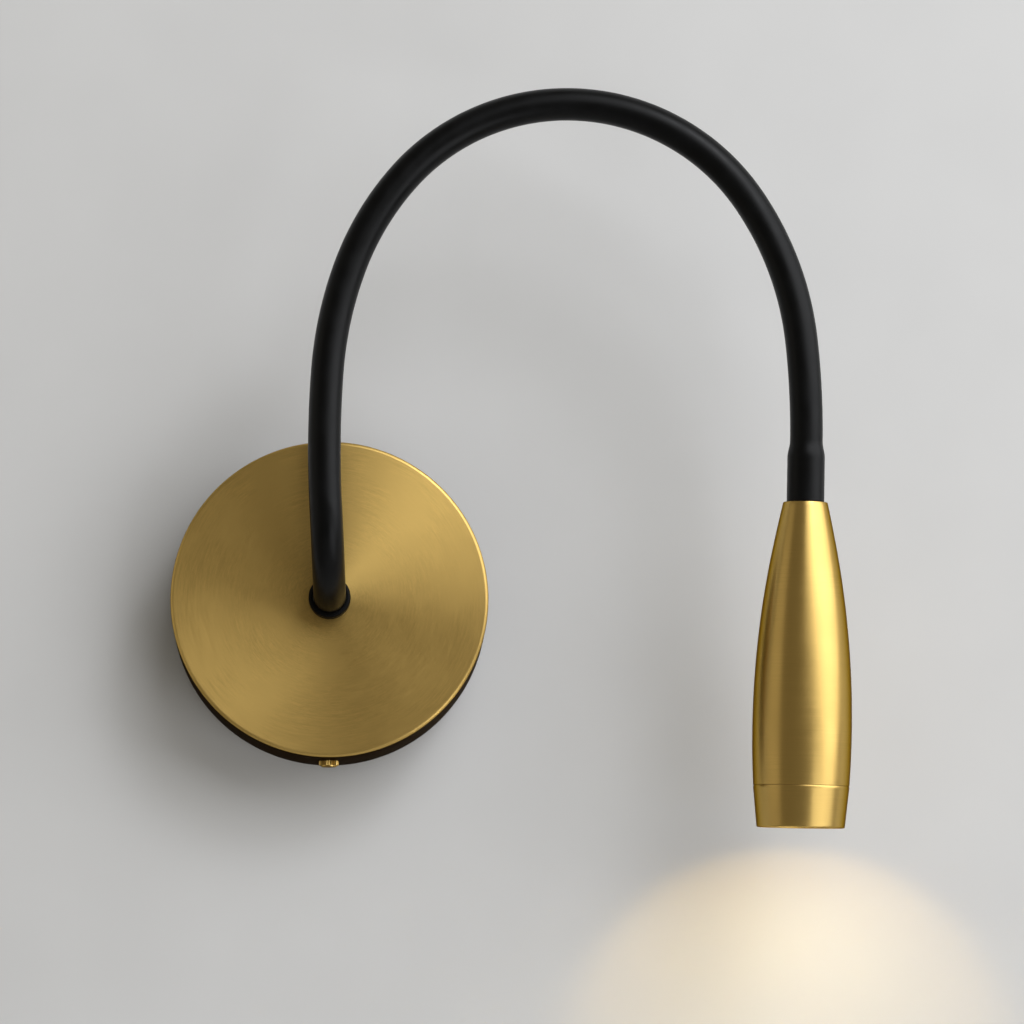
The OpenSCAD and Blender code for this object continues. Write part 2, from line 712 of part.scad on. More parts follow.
// Where the arm meets the canopy
module base_fitting() {
    bottom = canopy_h - nipple_l;
    long = nipple_l + flange_t + 2 * over;
    color(STEEL) on_wall() difference() {
        union() {
            translate([0, 0, bottom]) cylinder(r = nipple_r, h = nipple_l + over);
            translate([0, 0, canopy_h + seat]) cylinder(r = flange_r, h = flange_t);
        }
        translate([0, 0, bottom - over]) cylinder(r = lead_hole_r, h = long);
        translate([0, 0, bottom + base_ledge - seat]) cylinder(r = core_r + core_gap, h = long);
    }
}

// A lock washer with teeth on its outside
module base_washer() {
    r = nut_af / 2 + 1;
    color(STEEL) on_wall() translate([0, 0, inside_h - washer_t - seat]) difference() {
        linear_extrude(washer_t) polygon([for (k = [0:4 * washer_teeth - 1])
            let (a = 90 * k / washer_teeth, q = k % 4 < 2 ? r : r - washer_tooth) [q * cos(a), q * sin(a)]]);
        translate([0, 0, -over]) cylinder(r = nipple_r + core_gap, h = washer_t + 2 * over);
    }
}

module base_nut() {
    corner_r = nut_af / sqrt(3);
    flat_r = nut_af / 2;
    wide_r = flat_r + 2 * nut_h;
    color(BRASS) on_wall() translate([0, 0, nut_z]) difference() {
        intersection() {
            cylinder(r = corner_r, h = nut_h, $fn = 6);
            cylinder(r1 = flat_r, r2 = wide_r, h = nut_h);
            cylinder(r1 = wide_r, r2 = flat_r, h = nut_h);
        }
        translate([0, 0, -over]) cylinder(r = nipple_r + thread_gap, h = nut_h + 2 * over);
    }
}

module base_collar() {
    r = collar_d / 2;
    color(BLACK) on_wall() translate([0, 0, canopy_h + seat]) rotate_extrude() difference() {
        intersection() {
            canopy_section(r, collar_l, collar_edge);
            square([r, collar_l]);
        }
        translate([0, -over]) square([flange_r + collar_gap, flange_t + collar_gap + over]);
        translate([0, -over]) square([sleeve_r + collar_gap, collar_l + 2 * over]);
    }
}

// One length of the steel core. Each ends in a ball that sits in the cup of the next, and all are bored for the lead.
module core_length(i) {
    r = BENDS[i][0];
    sweep = BENDS[i][1];
    past = bore_run / r * 180 / PI;
    bored = sweep + (i == 0 || i == LAST ? past : 2 * past);
    color(STEEL) multmatrix(frame(i)) difference() {
        union() {
            bent_rod(r, sweep, core_r);
            if (i == 0) translate([0, 0, -core_tail]) cylinder(r = core_r - tail_step, h = core_tail + over);
            if (i < LAST) multmatrix(bend(r, sweep)) sphere(ball_r);
            if (i == LAST) multmatrix(bend(r, sweep)) translate([0, 0, -over])
                cylinder(r = core_r - tail_step, h = core_nose + over);
        }
        if (i > 0) sphere(cup_r);
        multmatrix(bend(r, i == 0 ? 0 : -past)) bent_rod(r, bored, bore_r);
        if (i == 0) translate([0, 0, -core_tail - over]) cylinder(r = bore_r + tail_step, h = core_tail + 2 * over);
        if (i == LAST) multmatrix(bend(r, sweep)) translate([0, 0, -over])
            cylinder(r = bore_r + tail_step, h = core_nose + 3 * over);
    }
}

// The silicone sleeve, one piece from the collar to the head, where it is stretched over the fitting
module arm_sleeve() {
    start = EXIT * lift(flange_t + sleeve_gap - collar_l);
    past = frame(LAST + 1) * roll(-rolled(LAST));
    heights = [0, flare_taper / 3, flare_taper * 2 / 3, flare_taper, flare_l - sleeve_gap];
    places = concat([start], ARM_FRAMES, [for (w = heights) past * lift(w)]);
    plain = len(ARM_FRAMES) + 2;
    last = len(places) - 1;
    function grown(i, from, to) = i < plain ? from : from + min(1, (i - plain + 1) / 3) * (to - from);
    outside = [for (i = [0:last]) ring_at(places[i], grown(i, sleeve_r, flare_r), sleeve_sides)];
    inside = [for (i = [last:-1:0]) ring_at(places[i], grown(i, sleeve_bore_r, flare_bore_r), sleeve_sides)];
    color(BLACK) skin(concat(outside, inside), hollow = true);
}

// The lead runs from the connector, over the other wires, through the whole arm to the LED board
module arm_lead() {
    z = canopy_h - nipple_l;
    y = connector_y - connector_l;
    above = lead_z + 2.3;
    behind = [for (p = smooth([
        [output_x, y + 2, lead_z], [output_x, y - 1, lead_z], [output_x, y - 2, lead_z],
        [output_x - 3, y - 6, above], [output_x * 0.45, y - 6, above + 1], [3, -7, above],
        [0, -2, z - 4], [0, 0, z - 0.5], [0, 0, z + 3]
    ], 3)) [p[0], -p[2], p[1]]];
    through = [for (f = ARM_FRAMES) [f[0][3], f[1][3], f[2][3]]];
    inside = [for (p = smooth([
        [0, 0, -flare_l], [0, 0, 0], [0, 0, boss_l], [0, 0, boss_l + 6], [lead_x / 2, 0, boss_l + 15],
        [lead_x, 0, boss_l + 26], [lead_x, 0, sink_w + 8], [lead_x, 0, holder_w + 1]
    ], 2)) point_of(HEAD, p)];
    color(BLACK) skin([for (f = frames_along(concat(behind, through, inside))) ring_at(f, lead_r, 8)]);
}

// Head, drawn down its own axis from the end of the hose
module at_head(w = 0) {
    multmatrix(HEAD) translate([0, 0, w]) children();
}

module head_fitting() {
    color(STEEL) at_head() difference() {
        union() {
            translate([0, 0, -fitting_l]) cylinder(r = fitting_r, h = fitting_l - seat);
            translate([0, 0, -over]) cylinder(r = head_nipple_d / 2, h = head_nipple_l + over);
        }
        translate([0, 0, -fitting_l - over]) {
            cylinder(r = lead_hole_r, h = fitting_l + head_nipple_l + 2 * over);
            cylinder(r = core_r + core_gap, h = fitting_l + over - flare_l + core_nose + seat);
        }
    }
}

// The turned outline of the head as a half section, drawn in by inset: a long curve at the neck and a fuller one below
module head_section(inset, from, to) {
    split = max(from, neck_end_w);
    intersection() {
        translate(neck_centre) circle(neck_curve_r - inset, $fn = 2000);
        translate([0, from]) square([2 * shell_end_r, max(neck_end_w - from, eps)]);
    }
    intersection() {
        translate(belly_centre) circle(belly_curve_r - inset, $fn = 2000);
        translate([0, split]) square([2 * shell_end_r, to - split]);
    }
}

module head_shell() {
    c = neck_chamfer;
    color(BRASS) at_head() rotate_extrude($fn = 120) difference() {
        head_section(0, 0, shell_l);
        head_section(shell_wall, boss_l, shell_l + over);
        translate([0, -over]) square([head_nipple_d / 2 + thread_gap, boss_l + 2 * over]);
        polygon([[neck_r - c - over, -over], [neck_r + over, -over], [neck_r + over, c + over]]);
    }
}

module heat_sink() {
    color([0.75, 0.76, 0.77]) at_head(sink_w) difference() {
        linear_extrude(sink_l) difference() {
            circle(sink_r);
            for (k = [0:fins - 1]) rotate(90 + 360 * (k + 0.5) / fins) translate([sink_r - fin_depth, -fin_gap / 2])
                square([fin_depth + over, fin_gap]);
            translate([lead_x, 0]) circle(lead_hole_r);
        }
        for (side = [-1, 1]) translate([0, side * board_screw_y, sink_l - board_screw_depth])
            cylinder(r = board_screw_r + thread_gap, h = board_screw_depth + over);
    }
}

// The holes for the lead and the two screws, which the pad and the board share
module board_holes() {
    translate([lead_x, 0]) circle(lead_hole_r);
    for (side = [-1, 1]) translate([0, side * board_screw_y]) circle(board_screw_r + board_screw_gap);
}

module thermal_pad() {
    color([0.75, 0.8, 0.85]) at_head(pad_w + seat / 2) linear_extrude(pad_t - seat) difference() {
        circle(board_r - pad_edge);
        board_holes();
    }
}

module led_board() {
    color(WHITE) at_head(led_board_w) linear_extrude(board_t) difference() {
        circle(board_r);
        board_holes();
    }
}

module led_emitter() {
    color([0.98, 0.85, 0.4]) at_head(led_board_w + board_t) {
        translate([-package[0] / 2, -package[1] / 2, 0]) cube(package);
        cylinder(r = phosphor_r, h = package[2] + phosphor_h - 2 * seat);
    }
}

module board_screws() {
    color(STEEL) at_head(led_board_w + board_t + seat) for (side = [-1, 1]) translate([0, side * board_screw_y, 0])
        pan_screw(board_screw_head_r, board_screw_head_h, board_screw_r, board_t + pad_t + board_screw_grip);
}

module lens_holder() {
    cone_end = lens_base_r + cone_gap;
    cone_top = lens_top_r + cone_gap;
    web = lens_top_w - holder_web;
    color(BLACK) at_head() rotate_extrude() polygon([
        [lens_r, holder_w], [lens_r, lens_back_w - seat], [cone_end, lens_back_w - seat], [cone_top, lens_top_w],
        [cone_top, web], [lens_r - holder_wall, web], [lens_r - holder_wall, holder_w]
    ]);
}

// A lens that gathers the light inside its cone, with a hollow over the emitter
module lens() {
    color([0.9, 0.93, 0.95]) at_head() rotate_extrude() difference() {
        union() {
            translate([0, lens_back_w]) square([lens_r, lens_disc_t]);
            polygon([[0, lens_top_w], [lens_top_r, lens_top_w], [lens_base_r, lens_back_w + eps], [0, lens_back_w + eps]]);
        }
        polygon([
            [0, lens_top_w - over], [hollow_top_r, lens_top_w - over], [hollow_end_r, lens_top_w + hollow_l],
            [0, lens_top_w + hollow_l + hollow_crown]
        ]);
    }
}

// The ring that screws into the shell and holds the lens, the board and the heat sink against it
module bezel_ring() {
    end_r = ring_end_d / 2;
    mouth_r = end_r - ring_lip;
    ledge_r = lens_r - ledge_w;
    recess_w = head_l - lens_recess;
    top = shell_l + seat;
    color(BRASS) at_head() rotate_extrude($fn = 120) polygon([
        [spigot_r, shell_l - spigot_l], [spigot_r, top], [shell_end_r - ring_chamfer, top],
        [shell_end_r, top + ring_chamfer], [end_r, head_l - lip_chamfer], [end_r - lip_chamfer, head_l],
        [mouth_r, head_l], [lens_seat_r + reflector_step, recess_w], [ledge_r, recess_w],
        [ledge_r, lens_front_w + seat], [lens_seat_r, lens_front_w + seat], [lens_seat_r, shell_l - spigot_l]
    ]);
}

canopy();
wall_plate();
cable_grommet();
canopy_screws();
earth_screw();
earth_washer();
earth_ring();
earth_lead();
terminal_block();
terminal_clamps();
terminal_screws();
block_screw();
driver_case();
driver_lid();
driver_board();
driver_pad();
driver_input_leads();
driver_output_lead();
lead_connector();
base_fitting();
base_washer();
base_nut();
base_collar();
core_length(0);  // arm_core_00
core_length(1);  // arm_core_01
core_length(2);  // arm_core_02
core_length(3);  // arm_core_03
core_length(4);  // arm_core_04
core_length(5);  // arm_core_05
core_length(6);  // arm_core_06
core_length(7);  // arm_core_07
core_length(8);  // arm_core_08
core_length(9);  // arm_core_09
core_length(10);  // arm_core_10
arm_sleeve();
arm_lead();
head_fitting();
head_shell();
heat_sink();
thermal_pad();
led_board();
led_emitter();
board_screws();
lens_holder();
lens();
bezel_ring();
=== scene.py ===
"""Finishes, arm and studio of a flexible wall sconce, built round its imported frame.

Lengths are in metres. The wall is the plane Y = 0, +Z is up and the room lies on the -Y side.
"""

import json
import math

import bmesh
import bpy
import numpy as np
from bpy.props import FloatProperty, FloatVectorProperty, PointerProperty
from bpy.types import Operator, Panel, PropertyGroup
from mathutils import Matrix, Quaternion, Vector


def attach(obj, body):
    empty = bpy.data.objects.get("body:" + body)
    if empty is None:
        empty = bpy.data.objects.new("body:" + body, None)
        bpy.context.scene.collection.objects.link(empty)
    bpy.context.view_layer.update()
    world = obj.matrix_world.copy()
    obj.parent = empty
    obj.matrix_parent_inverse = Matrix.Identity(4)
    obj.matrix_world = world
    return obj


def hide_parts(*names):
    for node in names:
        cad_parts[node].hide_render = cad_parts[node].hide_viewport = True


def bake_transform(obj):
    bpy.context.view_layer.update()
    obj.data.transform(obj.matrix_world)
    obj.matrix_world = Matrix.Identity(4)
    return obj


bl_info = {
    "name": "Flexible wall sconce",
    "version": (1, 0, 0),
    "blender": (4, 5, 0),
    "location": "3D View > Sidebar > Wall sconce",
    "description": "Finishes, bendable arm and studio of a wall reading light",
    "category": "Add Mesh",
}

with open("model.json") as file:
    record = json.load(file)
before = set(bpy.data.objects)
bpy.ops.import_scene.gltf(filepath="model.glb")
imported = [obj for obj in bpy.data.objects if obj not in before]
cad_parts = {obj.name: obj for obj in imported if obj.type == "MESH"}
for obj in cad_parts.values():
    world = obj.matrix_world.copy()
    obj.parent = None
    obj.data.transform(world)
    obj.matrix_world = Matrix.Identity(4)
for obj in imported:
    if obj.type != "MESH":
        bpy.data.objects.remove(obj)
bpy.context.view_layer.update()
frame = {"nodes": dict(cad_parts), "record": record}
MM = 0.001

# The arm's bends in turn: radius in metres, and in degrees the sweep and the roll about the hose before it
BENDS = (
    (0.026, 45, 3), (0.026, 45, 0), (0.340, 7, -90), (0.122, 16, 0), (0.090, 21, 0), (0.068, 35, 0),
    (0.068, 35, 0), (0.068, 35, 0), (0.098, 14, 0), (0.098, 14, 0), (0.228, 8, 30),
)
BODIES = ["base"] + [f"arm_{k:02d}" for k in range(1, 10)] + ["head"]

# The lead's route behind the canopy's front and inside the head
LEAD_BEHIND = (
    (0.016, -0.0087, -0.0045), (0.016, -0.0087, -0.0075), (0.016, -0.0087, -0.0085), (0.013, -0.011, -0.0125),
    (0.0072, -0.012, -0.0125), (0.003, -0.011, -0.007), (0, -0.012, -0.002), (0, -0.0155, 0), (0, -0.019, 0),
)
LEAD_IN_HEAD = (
    (0, -0.019), (0, 0), (0, 0.012), (0, 0.018), (0.003, 0.027), (0.006, 0.038), (0.006, 0.054),
    (0.006, 0.0808),
)
LEAD_R = 1.55 * MM


def rows(*values):
    """A 4 x 4 matrix from sixteen numbers."""
    return np.array(values, float).reshape(4, 4)


def rolled(angle):
    """A turn about the local Z axis, in radians."""
    c, s = math.cos(angle), math.sin(angle)
    return rows(c, -s, 0, 0, s, c, 0, 0, 0, 0, 1, 0, 0, 0, 0, 1)


def lifted(z):
    """A step along the local Z axis."""
    return rows(1, 0, 0, 0, 0, 1, 0, 0, 0, 0, 1, z, 0, 0, 0, 1)


def bent(radius, angles):
    """Steps round a bend that turns local Z towards local X: one matrix for each angle, in radians."""
    a = np.atleast_1d(np.asarray(angles, float))
    c, s, o, i = np.cos(a), np.sin(a), np.zeros_like(a), np.ones_like(a)
    flat = [c, o, s, radius * (1 - c), o, i, o, o, -s, o, c, radius * s, o, o, o, i]
    return np.stack(flat, -1).reshape(-1, 4, 4)


def arm_starts():
    """The frame at the start of each bend, with one more past the last, and the length of hose up to each."""
    size = settings()
    front = -(size.canopy_depth + size.collar_length)
    here = rows(0, -1, 0, 0, 0, 0, -1, front, 1, 0, 0, 0, 0, 0, 0, 1)
    frames, lengths = [], [0.0]
    for radius, sweep, roll in BENDS:
        here = here @ rolled(math.radians(roll))
        frames.append(here)
        here = here @ bent(radius, math.radians(sweep))[0]
        lengths.append(lengths[-1] + radius * math.radians(sweep))
    return frames + [here], lengths


def arm_frames(s):
    """Frames at lengths s along the hose, with the rolls undone. It runs straight on past both ends."""
    starts, lengths = arm_starts()
    out = np.zeros((len(s), 4, 4))
    turned = 0.0
    for k, (radius, sweep, roll) in enumerate(BENDS):
        turned += math.radians(roll)
        low = lengths[k] if k else -np.inf
        here = (s >= low) & (s < lengths[k + 1])
        steps = bent(radius, np.maximum(s[here] - lengths[k], 0) / radius)
        out[here] = starts[k] @ steps @ rolled(-turned)
    before, past = s < 0, s >= lengths[-1]
    ahead = [starts[-1] @ lifted(z) @ rolled(-turned) for z in s[past] - lengths[-1]]
    out[past] = np.array(ahead).reshape(-1, 4, 4)
    out[before, :3, 3] += s[before, None] * out[before, :3, 2]
    return out


def head_frame():
    """The frame at the top of the head, with Z down its axis."""
    return arm_starts()[0][-1] @ lifted(settings().flare_length)


# Sizes and colours

def length_setting(name, description, value):
    """A length in metres."""
    return FloatProperty(name=name, description=description, default=value, unit="LENGTH")


def colour_setting(name, description, value):
    """A linear colour."""
    return FloatVectorProperty(name=name, description=description, default=value, subtype="COLOR")


class SconceSettings(PropertyGroup):
    """Sizes and colours that a user would change."""

    canopy_radius: length_setting("Canopy radius", "Outside radius of the canopy", 0.050)
    canopy_depth: length_setting("Canopy depth", "From the wall to its front", 0.028)
    canopy_wall: length_setting("Canopy wall", "Thickness of the brass", 0.0015)
    canopy_edge: length_setting("Canopy edge", "Radius of the front edge", 0.0012)
    collar_length: length_setting("Collar length", "Length of the collar", 0.005)
    collar_radius: length_setting("Collar radius", "Radius of the collar", 0.0066)
    sleeve_radius: length_setting("Sleeve radius", "Outside radius of the hose", 0.0051)
    sleeve_wall: length_setting("Sleeve wall", "Thickness of the silicone", 0.0011)
    flare_radius: length_setting("Flare radius", "Outside radius over the fitting", 0.00585)
    flare_length: length_setting("Flare length", "Length over the fitting", 0.019)
    neck_radius: length_setting("Neck radius", "Radius at the top of the head", 0.0069)
    shell_length: length_setting("Shell length", "Length of the head's shell", 0.0880)
    shell_wall: length_setting("Shell wall", "Thickness of the head's shell", 0.0016)
    ring_length: length_setting("Ring length", "Length of the bezel ring", 0.0130)
    brass: colour_setting("Brass", "Colour of the satin brass", (0.62, 0.42, 0.13))
    silicone: colour_setting("Silicone", "Colour of the hose", (0.0015, 0.0017, 0.002))
    dark: colour_setting("Canopy side", "Colour of its dark side", (0.04, 0.024, 0.012))
    wall: colour_setting("Wall", "Colour of the wall", (0.65, 0.65, 0.645))
    lamp: colour_setting("Lamp", "Colour of the lamp's light", (1.0, 0.66, 0.20))
    glow: colour_setting("Lens", "Colour of the lit lens", (1.0, 0.86, 0.5))


def settings():
    """The scene's sizes and colours."""
    return bpy.context.scene.sconce


# Meshes

def arc(cx, cz, radius, start, end, steps=8):
    """Points on an arc round (cx, cz), from start to end in degrees."""
    a = np.radians(np.linspace(start, end, steps + 1))
    return np.stack([cx + radius * np.cos(a), cz + radius * np.sin(a)], 1)


def line(*points):
    """An array of outline points."""
    return np.array(points, float)


def skin(name, grid, wrap_rows=False, sharp=32.0):
    """A mesh piece from a grid of points, rows x columns x 3, with quads between neighbours. The columns are
    always joined round, and the rows if wrap_rows. Rows that shrink to a point close into a pole."""
    n, m = grid.shape[:2]
    i = np.arange(n if wrap_rows else n - 1)[:, None]
    j = np.arange(m)[None, :]
    up, right = (i + 1) % n, (j + 1) % m
    quads = np.stack([i * m + j, i * m + right, up * m + right, up * m + j], -1).reshape(-1, 4)
    mesh = bpy.data.meshes.new(name)
    mesh.vertices.add(n * m)
    mesh.vertices.foreach_set("co", grid.reshape(-1).astype(np.float32))
    mesh.loops.add(quads.size)
    mesh.loops.foreach_set("vertex_index", quads.reshape(-1).astype(np.int32))
    mesh.polygons.add(len(quads))
    mesh.polygons.foreach_set("loop_start", np.arange(0, quads.size, 4, dtype=np.int32))
    mesh.update(calc_edges=True)
    work = bmesh.new()
    work.from_mesh(mesh)
    bmesh.ops.remove_doubles(work, verts=work.verts, dist=1e-7)
    bmesh.ops.recalc_face_normals(work, faces=work.faces)
    work.to_mesh(mesh)
    work.free()
    mesh.polygons.foreach_set("use_smooth", np.ones(len(mesh.polygons), bool))
    mesh.set_sharp_from_angle(angle=math.radians(sharp))
    piece = bpy.data.objects.new(name, mesh)
    bpy.context.scene.collection.objects.link(piece)
    return piece


def turned(name, outline, place, steps=192, closed=True):
    """A piece turned on a lathe: each outline point (radius, height) goes round the Z axis of place."""
    a = np.linspace(0, 2 * np.pi, steps, endpoint=False)
    r, z = outline[:, 0, None], outline[:, 1, None]
    ring = np.stack([r * np.cos(a), r * np.sin(a), z + 0 * a], -1)
    return skin(name, ring @ place[:3, :3].T + place[:3, 3], wrap_rows=closed)


def hose(name, s, outer, inner, sides=64):
    """A tube along the arm at lengths s: an outer and an inner skin of those radii, joined at both ends."""
    frames = arm_frames(s)
    a = np.linspace(0, 2 * np.pi, sides, endpoint=False)
    ring = np.cos(a)[:, None] * frames[:, None, :3, 0] + np.sin(a)[:, None] * frames[:, None, :3, 1]
    centre = frames[:, None, :3, 3]
    outside = centre + outer[:, None, None] * ring
    inside = centre + inner[:, None, None] * ring
    return skin(name, np.concatenate([outside, inside[::-1]]), wrap_rows=True)


def smooth_run(points, steps):
    """Points of a smooth line through the given ones: a cubic between each pair, sloped by its neighbours."""
    p = np.asarray(points, float)
    padded = np.vstack([p[:1], p, p[-1:]])
    u = np.linspace(0, 1, steps, endpoint=False)[:, None]
    parts = []
    for a, b, c, d in zip(padded, padded[1:], padded[2:], padded[3:]):
        parts.append(b + 0.5 * u * (c - a + u * (2 * a - 5 * b + 4 * c - d + u * (3 * (b - c) + d - a))))
    return np.vstack(parts + [p[-1:]])


def cable(name, line_points, radius, sides=16):
    """A round cable along a run of points: rings square to the run, closed by a point at both ends."""
    t = np.gradient(line_points, axis=0)
    t /= np.linalg.norm(t, axis=1)[:, None]
    across = np.zeros_like(t)
    side = np.cross(t[0], (0.3, 0.5, 0.81))
    for k, tangent in enumerate(t):
        side = side - (side @ tangent) * tangent
        side /= np.linalg.norm(side)
        across[k] = side
    other = np.cross(t, across)
    a = np.linspace(0, 2 * np.pi, sides, endpoint=False)
    ring = np.cos(a)[None, :, None] * across[:, None] + np.sin(a)[None, :, None] * other[:, None]
    tube = line_points[:, None] + radius * ring
    first = np.repeat(line_points[:1, None], sides, 1)
    last = np.repeat(line_points[-1:, None], sides, 1)
    return skin(name, np.concatenate([first, tube, last]))


# Shader helpers

def add(tree, kind, **values):
    """A shader node with its properties and unlinked inputs set. An input is named by its socket, with _ for
    each space."""
    made = tree.nodes.new(kind)
    for key, value in values.items():
        if hasattr(made, key) and key not in ("Scale", "Location", "Rotation"):
            setattr(made, key, value)
        else:
            made.inputs[key.replace("_", " ")].default_value = value
    return made


def link(tree, source, target):
    """Joins an output socket to an input socket."""
    tree.links.new(source, target)


def fill(tree, sockets, values):
    """Gives each input socket its value or its source socket. None leaves one as it is."""
    for socket, value in zip(sockets, values):
        if isinstance(value, bpy.types.NodeSocket):
            link(tree, value, socket)
        elif value is not None:
            socket.default_value = value


def maths(tree, operation, a, b=None):
    """The output of a Math node. Each input is a socket or a number."""
    made = add(tree, "ShaderNodeMath", operation=operation)
    fill(tree, made.inputs, (a, b))
    return made.outputs[0]


def vectors(tree, operation, a, b=None):
    """The output of a Vector Math node. Each input is a socket or a tuple."""
    made = add(tree, "ShaderNodeVectorMath", operation=operation)
    fill(tree, made.inputs, (a, b))
    return made.outputs["Value" if operation == "LENGTH" else "Vector"]


def off_axis(tree, where, kept):
    """A position without its part along an axis, which kept holds as 0, and its distance from that axis."""
    flat = vectors(tree, "MULTIPLY", where, kept)
    return flat, vectors(tree, "LENGTH", flat)


def upright(tree, where, centre, axis):
    """A position from a centre, and the same turned so that the axis is Z."""
    centred = vectors(tree, "SUBTRACT", where, centre)
    made = tree.nodes.new("ShaderNodeMapping")
    made.inputs["Rotation"].default_value = Vector(axis).rotation_difference(Vector((0, 0, 1))).to_euler()
    link(tree, centred, made.inputs["Vector"])
    return centred, made.outputs[0]


def ranged(tree, value, low, high, start=0.0, end=1.0):
    """The output of a Map Range node that takes start to end onto low to high."""
    made = add(tree, "ShaderNodeMapRange", From_Min=start, From_Max=end, To_Min=low, To_Max=high)
    link(tree, value, made.inputs["Value"])
    return made.outputs[0]


def mixed(tree, factor, a, b):
    """The colour output of a Mix node. Factor is a socket, and a and b are colours or sockets."""
    made = tree.nodes.new("ShaderNodeMix")
    made.data_type = "RGBA"
    link(tree, factor, made.inputs[0])
    for socket, value in ((made.inputs[6], a), (made.inputs[7], b)):
        if isinstance(value, tuple):
            socket.default_value = value + (1.0,)
        else:
            link(tree, value, socket)
    return made.outputs[2]


def scaled(colour, factor):
    """A colour times a number, as a tuple."""
    return tuple(min(1.0, c * factor) for c in colour)


def new_group(name, inputs, outputs):
    """An empty shader node group with its sockets, and its input and output nodes."""
    tree = bpy.data.node_groups.new(name, "ShaderNodeTree")
    for socket, kind, value in inputs:
        made = tree.interface.new_socket(name=socket, in_out="INPUT", socket_type=kind)
        if value is not None:
            made.default_value = value
    for socket in outputs:
        tree.interface.new_socket(name=socket, in_out="OUTPUT", socket_type="NodeSocketFloat")
    return tree, tree.nodes.new("NodeGroupInput"), tree.nodes.new("NodeGroupOutput")


def turned_lines_group():
    """Fine lines left by a lathe or a brush, round the Z axis of its vector: noise that changes fast with
    radius and height and slowly round the axis. Height is for a bump, and Shade for colour and roughness."""
    name = "turned lines"
    if name in bpy.data.node_groups:
        return bpy.data.node_groups[name]
    inputs = [
        ("Vector", "NodeSocketVector", None), ("Lines", "NodeSocketFloat", 2500.0),
        ("Streaks", "NodeSocketFloat", 2.0),
    ]
    tree, come, go = new_group(name, inputs, ["Height", "Shade"])
    flat, radius = off_axis(tree, come.outputs["Vector"], (1, 1, 0))
    way = tree.nodes.new("ShaderNodeSeparateXYZ")
    link(tree, vectors(tree, "NORMALIZE", flat), way.inputs[0])
    place = tree.nodes.new("ShaderNodeSeparateXYZ")
    link(tree, come.outputs["Vector"], place.inputs[0])
    spot = tree.nodes.new("ShaderNodeCombineXYZ")
    link(tree, maths(tree, "MULTIPLY", way.outputs["X"], come.outputs["Streaks"]), spot.inputs["X"])
    link(tree, maths(tree, "MULTIPLY", way.outputs["Y"], come.outputs["Streaks"]), spot.inputs["Y"])
    link(tree, maths(tree, "MULTIPLY", radius, come.outputs["Lines"]), spot.inputs["Z"])
    height = maths(tree, "MULTIPLY", place.outputs["Z"], come.outputs["Lines"])
    coarse = add(tree, "ShaderNodeTexNoise", noise_dimensions="4D", Scale=0.45, Detail=1.0, Roughness=0.5)
    fine = add(tree, "ShaderNodeTexNoise", noise_dimensions="4D", Scale=1.9, Detail=2.0, Roughness=0.6)
    for noise in (coarse, fine):
        link(tree, spot.outputs[0], noise.inputs["Vector"])
        link(tree, height, noise.inputs["W"])
    shares = maths(tree, "MULTIPLY", coarse.outputs[0], 0.45), maths(tree, "MULTIPLY", fine.outputs[0], 0.55)
    both = maths(tree, "ADD", *shares)
    link(tree, both, go.inputs["Height"])
    link(tree, ranged(tree, both, 0.0, 1.0, 0.38, 0.62), go.inputs["Shade"])
    return tree


def grain_group():
    """Fine moulded or rubbed grain of two sizes. Height is for a bump, and Shade is a slow change of tone."""
    name = "grain"
    if name in bpy.data.node_groups:
        return bpy.data.node_groups[name]
    inputs = [("Vector", "NodeSocketVector", None), ("Size", "NodeSocketFloat", 0.0003)]
    tree, come, go = new_group(name, inputs, ["Height", "Shade"])
    rate = maths(tree, "DIVIDE", 1.0, come.outputs["Size"])
    fine = add(tree, "ShaderNodeTexNoise", Detail=3.0, Roughness=0.6)
    slow = add(tree, "ShaderNodeTexNoise", Detail=2.0, Roughness=0.5)
    link(tree, rate, fine.inputs["Scale"])
    link(tree, maths(tree, "MULTIPLY", rate, 0.04), slow.inputs["Scale"])
    for noise in (fine, slow):
        link(tree, come.outputs["Vector"], noise.inputs["Vector"])
    link(tree, fine.outputs[0], go.inputs["Height"])
    link(tree, ranged(tree, slow.outputs[0], 0.0, 1.0, 0.35, 0.65), go.inputs["Shade"])
    return tree


def place_group(tree, group, vector, **values):
    """A node group in a material, fed with its vector and its own values."""
    made = tree.nodes.new("ShaderNodeGroup")
    made.node_tree = group
    link(tree, vector, made.inputs["Vector"])
    for key, value in values.items():
        made.inputs[key].default_value = value
    return made


def new_material(name, **values):
    """A material with one Principled BSDF, whose sockets are set, and the object's own coordinates."""
    material = bpy.data.materials.new(name)
    material.use_nodes = True
    tree = material.node_tree
    surface = tree.nodes["Principled BSDF"]
    for key, value in values.items():
        surface.inputs[key.replace("_", " ")].default_value = value
    where = tree.nodes.new("ShaderNodeTexCoord")
    return material, tree, surface, where.outputs["Object"]


def bump(tree, surface, height, strength, distance):
    """Feeds a height to the surface's normal."""
    made = add(tree, "ShaderNodeBump", Strength=strength, Distance=distance)
    link(tree, height, made.inputs["Height"])
    link(tree, made.outputs[0], surface.inputs["Normal"])


